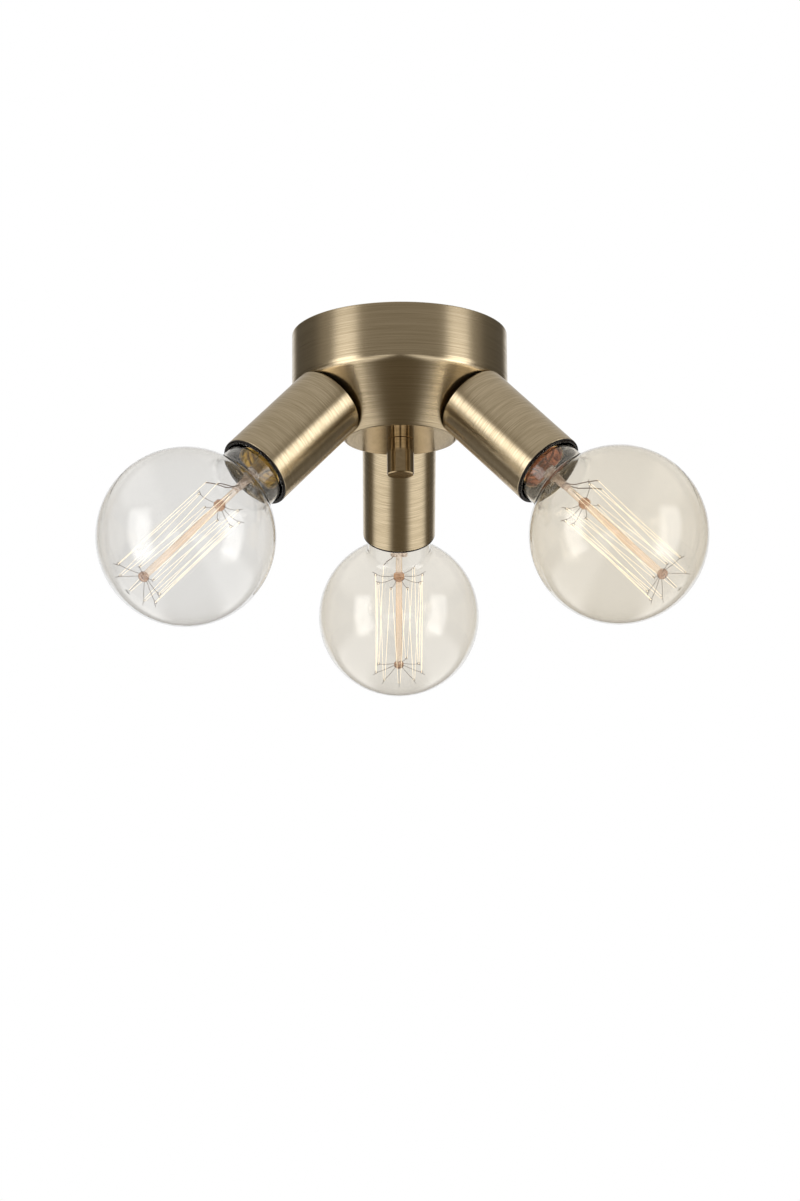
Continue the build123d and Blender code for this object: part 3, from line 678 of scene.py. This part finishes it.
# --- Stems: pressed glass flare, pinch and rod with two beads ---
# The pinch is creased where it was pressed. The filament's light on the stem is painted: a peach tone and a
# faint glow along the rod, and a glow in the pinch.
stem_start, stem_end = 0.05, 0.16
crease_scale, crease_depth = 900.0, 0.0008


def stem_glass(lamp):
    """Clear glass, creased in the pinch, with the filament's light painted on as a peach tone and a glow
    along the rod and pinch.
    """
    material = paint(f"{lamp}_stem_glass", {"IOR": 1.5})
    tree = material.node_tree
    shader = tree.nodes["Principled BSDF"]
    seat, out = lamp_axis(lamp)
    place = new_node(tree, "ShaderNodeTexCoord").outputs["Object"]
    arm = new_node(tree, "ShaderNodeVectorMath", ((0, place), (1, seat)), operation="SUBTRACT").outputs[0]
    reach = new_node(
        tree, "ShaderNodeVectorMath", ((0, arm), (1, out)), operation="DOT_PRODUCT",
    ).outputs["Value"]
    share = new_node(
        tree, "ShaderNodeMapRange", ((0, reach), (1, stem_start), (2, stem_end), (3, 0.0), (4, 1.0)),
    ).outputs[0]
    # Colour along the stem: clear flare, milky pinch, darker bands at the beads, and a painted peach tone
    # from the filament's light along the rod.
    tone = ramp(tree, share, (
        (0.0, colour(0.97, 0.94, 0.90)), (0.24, colour(0.97, 0.90, 0.83)),
        (0.37, colour(0.98, 0.88, 0.78)), (0.385, colour(0.52, 0.32, 0.20)),
        (0.415, colour(0.52, 0.32, 0.20)), (0.43, colour(0.99, 0.90, 0.78)),
        (0.60, colour(0.99, 0.86, 0.72)), (0.94, colour(0.99, 0.90, 0.80)),
        (0.955, colour(0.52, 0.32, 0.22)),
    ))
    tree.links.new(tone, shader.inputs["Base Color"])
    # Painted light: the filament's glow on the pinch and along the rod, given as emission.
    glow = ramp(tree, share, (
        (0.14, colour(0, 0, 0)), (0.18, colour(0.07, 0.05, 0.038)),
        (0.25, colour(0.07, 0.05, 0.038)), (0.30, colour(0.02, 0.012, 0.008)),
        (0.43, colour(0.05, 0.022, 0.012)), (0.62, colour(0.06, 0.027, 0.015)),
        (0.90, colour(0.04, 0.02, 0.01)), (0.97, colour(0.01, 0.006, 0.004)),
    ))
    tree.links.new(glow, shader.inputs["Emission Color"])
    shader.inputs["Emission Strength"].default_value = 1.0
    pinch = calculate(
        tree, "MULTIPLY",
        smooth_step(tree, share, 0.12, 0.16), smooth_step(tree, share, 0.25, 0.29, 1.0, 0.0),
    )
    tree.links.new(blend_value(tree, pinch, 0.97, 0.93), shader.inputs["Transmission Weight"])
    tree.links.new(blend_value(tree, pinch, 0.01, 0.02), shader.inputs["Roughness"])
    creases = new_node(
        tree, "ShaderNodeTexNoise",
        (("Vector", place), ("Scale", crease_scale), ("Detail", 2.0), ("Distortion", 1.0)),
    ).outputs[0]
    dents = calculate(tree, "MULTIPLY", creases, pinch)
    pressed = new_node(
        tree, "ShaderNodeBump", (("Strength", 1.0), ("Distance", crease_depth), ("Height", dents)),
    ).outputs[0]
    tree.links.new(pressed, shader.inputs["Normal"])
    return material


for lamp in lamps:
    dress(f"{lamp}_bulb_stem", stem_glass(lamp))

# --- Support wires and filament: hooks set in the beads, two leads, and one wire hung zigzag on the hooks ---
# Dark drawn wire with a small pigtail round the filament at each hook. The filament glows cream.
cage_radius = 0.0140
upper_hub, lower_hub = 0.094, 0.156
upper_bead, lower_bead = 0.0026, 0.0023
hook_knee = 0.009
cage_bottom = lower_hub + 0.004
hook_count = 8
hook_pitch = radians(40)
pigtail = 0.0008
hook_gap = 0.0006
lead_root = 0.066
wire_thick, lead_thick, filament_thick = 0.00014, 0.00028, 0.00011
pinch_front = 0.079
lead_offset = 0.0024
filament_end = upper_hub - 0.003


def on_cage(angle, height, radius=cage_radius):
    return Vector((radius * cos(angle), radius * sin(angle), height))


def hook(angle, root, knee, height, curl):
    """Support wire from its bead to the cage, ending in a pigtail that holds the filament."""
    points = [on_cage(angle, root[1], root[0]), on_cage(angle, knee[1], knee[0])]
    loop_centre = on_cage(angle, height, cage_radius)
    for step in range(10):
        turn = 2 * pi * step / 8
        outward = on_cage(angle, 0, 1).normalized() * (-pigtail * cos(turn))
        points.append(loop_centre + outward + Vector((0, 0, curl * pigtail * sin(turn))))
    points.append(on_cage(angle, height + curl * 2.2 * pigtail, cage_radius + 2.4 * pigtail))
    return points


def wires(paths, thickness, kind, sides):
    """Round wires along these paths, as one mesh."""
    bpy.ops.object.select_all(action="DESELECT")
    bpy.ops.curve.primitive_bezier_curve_add()
    drawn = bpy.context.object
    drawn.data.splines.clear()
    for path in paths:
        spline = drawn.data.splines.new(kind)
        spline.points.add(len(path) - 1)
        for point, spot in zip(spline.points, path):
            point.co = (*spot, 1.0)
        if kind == "NURBS":
            spline.order_u = 3
            spline.use_endpoint_u = True
            spline.resolution_u = 4
    drawn.data.dimensions = "3D"
    drawn.data.bevel_depth = thickness
    drawn.data.bevel_resolution = sides
    drawn.data.use_fill_caps = True
    bpy.ops.object.convert(target="MESH")
    bpy.ops.object.shade_smooth()
    return bpy.context.object


def filament_path(seed):
    """The filament's way, up and down between the hooks, each run bowed a little."""
    draw = random.Random(seed)
    spread = hook_gap / cage_radius
    points = [on_cage(0, filament_end)]
    for run in range(hook_count):
        for angle, height in (((run + 0.5) * hook_pitch, cage_bottom), ((run + 1) * hook_pitch, upper_hub)):
            last = run == hook_count - 1 and height == upper_hub
            goal = on_cage(angle - spread, height) if not last else on_cage(angle, filament_end)
            middle = (points[-1] + goal) / 2
            bow = draw.uniform(-0.0006, 0.0002)
            points.append(middle + middle.xy.to_3d().normalized() * bow)
            points.append(goal)
            if not last:
                points.append(on_cage(angle + spread, height))
    return points


support_metal = mottle(
    paint("support_wire", {"Metallic": 1.0}), 1200.0, 2.0,
    (colour(0.16, 0.12, 0.10), colour(0.26, 0.20, 0.16)), (0.3, 0.45),
)
filament_glow = mottle(
    paint("filament_glow", {"Emission Color": colour(1.0, 0.88, 0.66), "Emission Strength": 1.25}),
    900.0, 2.0, (colour(0.9, 0.75, 0.5), colour(1.0, 0.88, 0.68)), (0.5, 0.7),
)
hooks = []
for run in range(1, hook_count):
    angle = run * hook_pitch
    hooks.append(hook(angle, (upper_bead, upper_hub), (hook_knee, upper_hub + 0.001), upper_hub, -1))
for run in range(hook_count):
    angle = (run + 0.5) * hook_pitch
    hooks.append(hook(angle, (lower_bead, lower_hub), (hook_knee, lower_hub + 0.003), cage_bottom, 1))
leads = []
for side, angle in ((1, 0), (-1, hook_count * hook_pitch)):
    leads.append([
        Vector((0, side * lead_offset, lead_root)), Vector((0, side * lead_offset, pinch_front + 0.001)),
        on_cage(angle, filament_end - 0.003, 0.011), on_cage(angle, filament_end + 0.0008),
    ])
for seed, lamp in enumerate(lamps):
    thin = wires(hooks, wire_thick, "NURBS", 1)
    thick = wires(leads, lead_thick, "NURBS", 2)
    thin.select_set(True)
    thick.select_set(True)
    bpy.context.view_layer.objects.active = thin
    bpy.ops.object.join()
    thin.matrix_world = lamp_place(lamp)
    finish_piece(
        thin, f"{lamp}_support_wires", f"{lamp}_lamp", support_metal,
        [f"{lamp}_bulb_supports"],
    )
    filament = wires([filament_path(seed)], filament_thick, "POLY", 1)
    filament.matrix_world = lamp_place(lamp)
    finish_piece(
        filament, f"{lamp}_filament_wire", f"{lamp}_lamp", filament_glow,
        [f"{lamp}_bulb_filament"],
    )
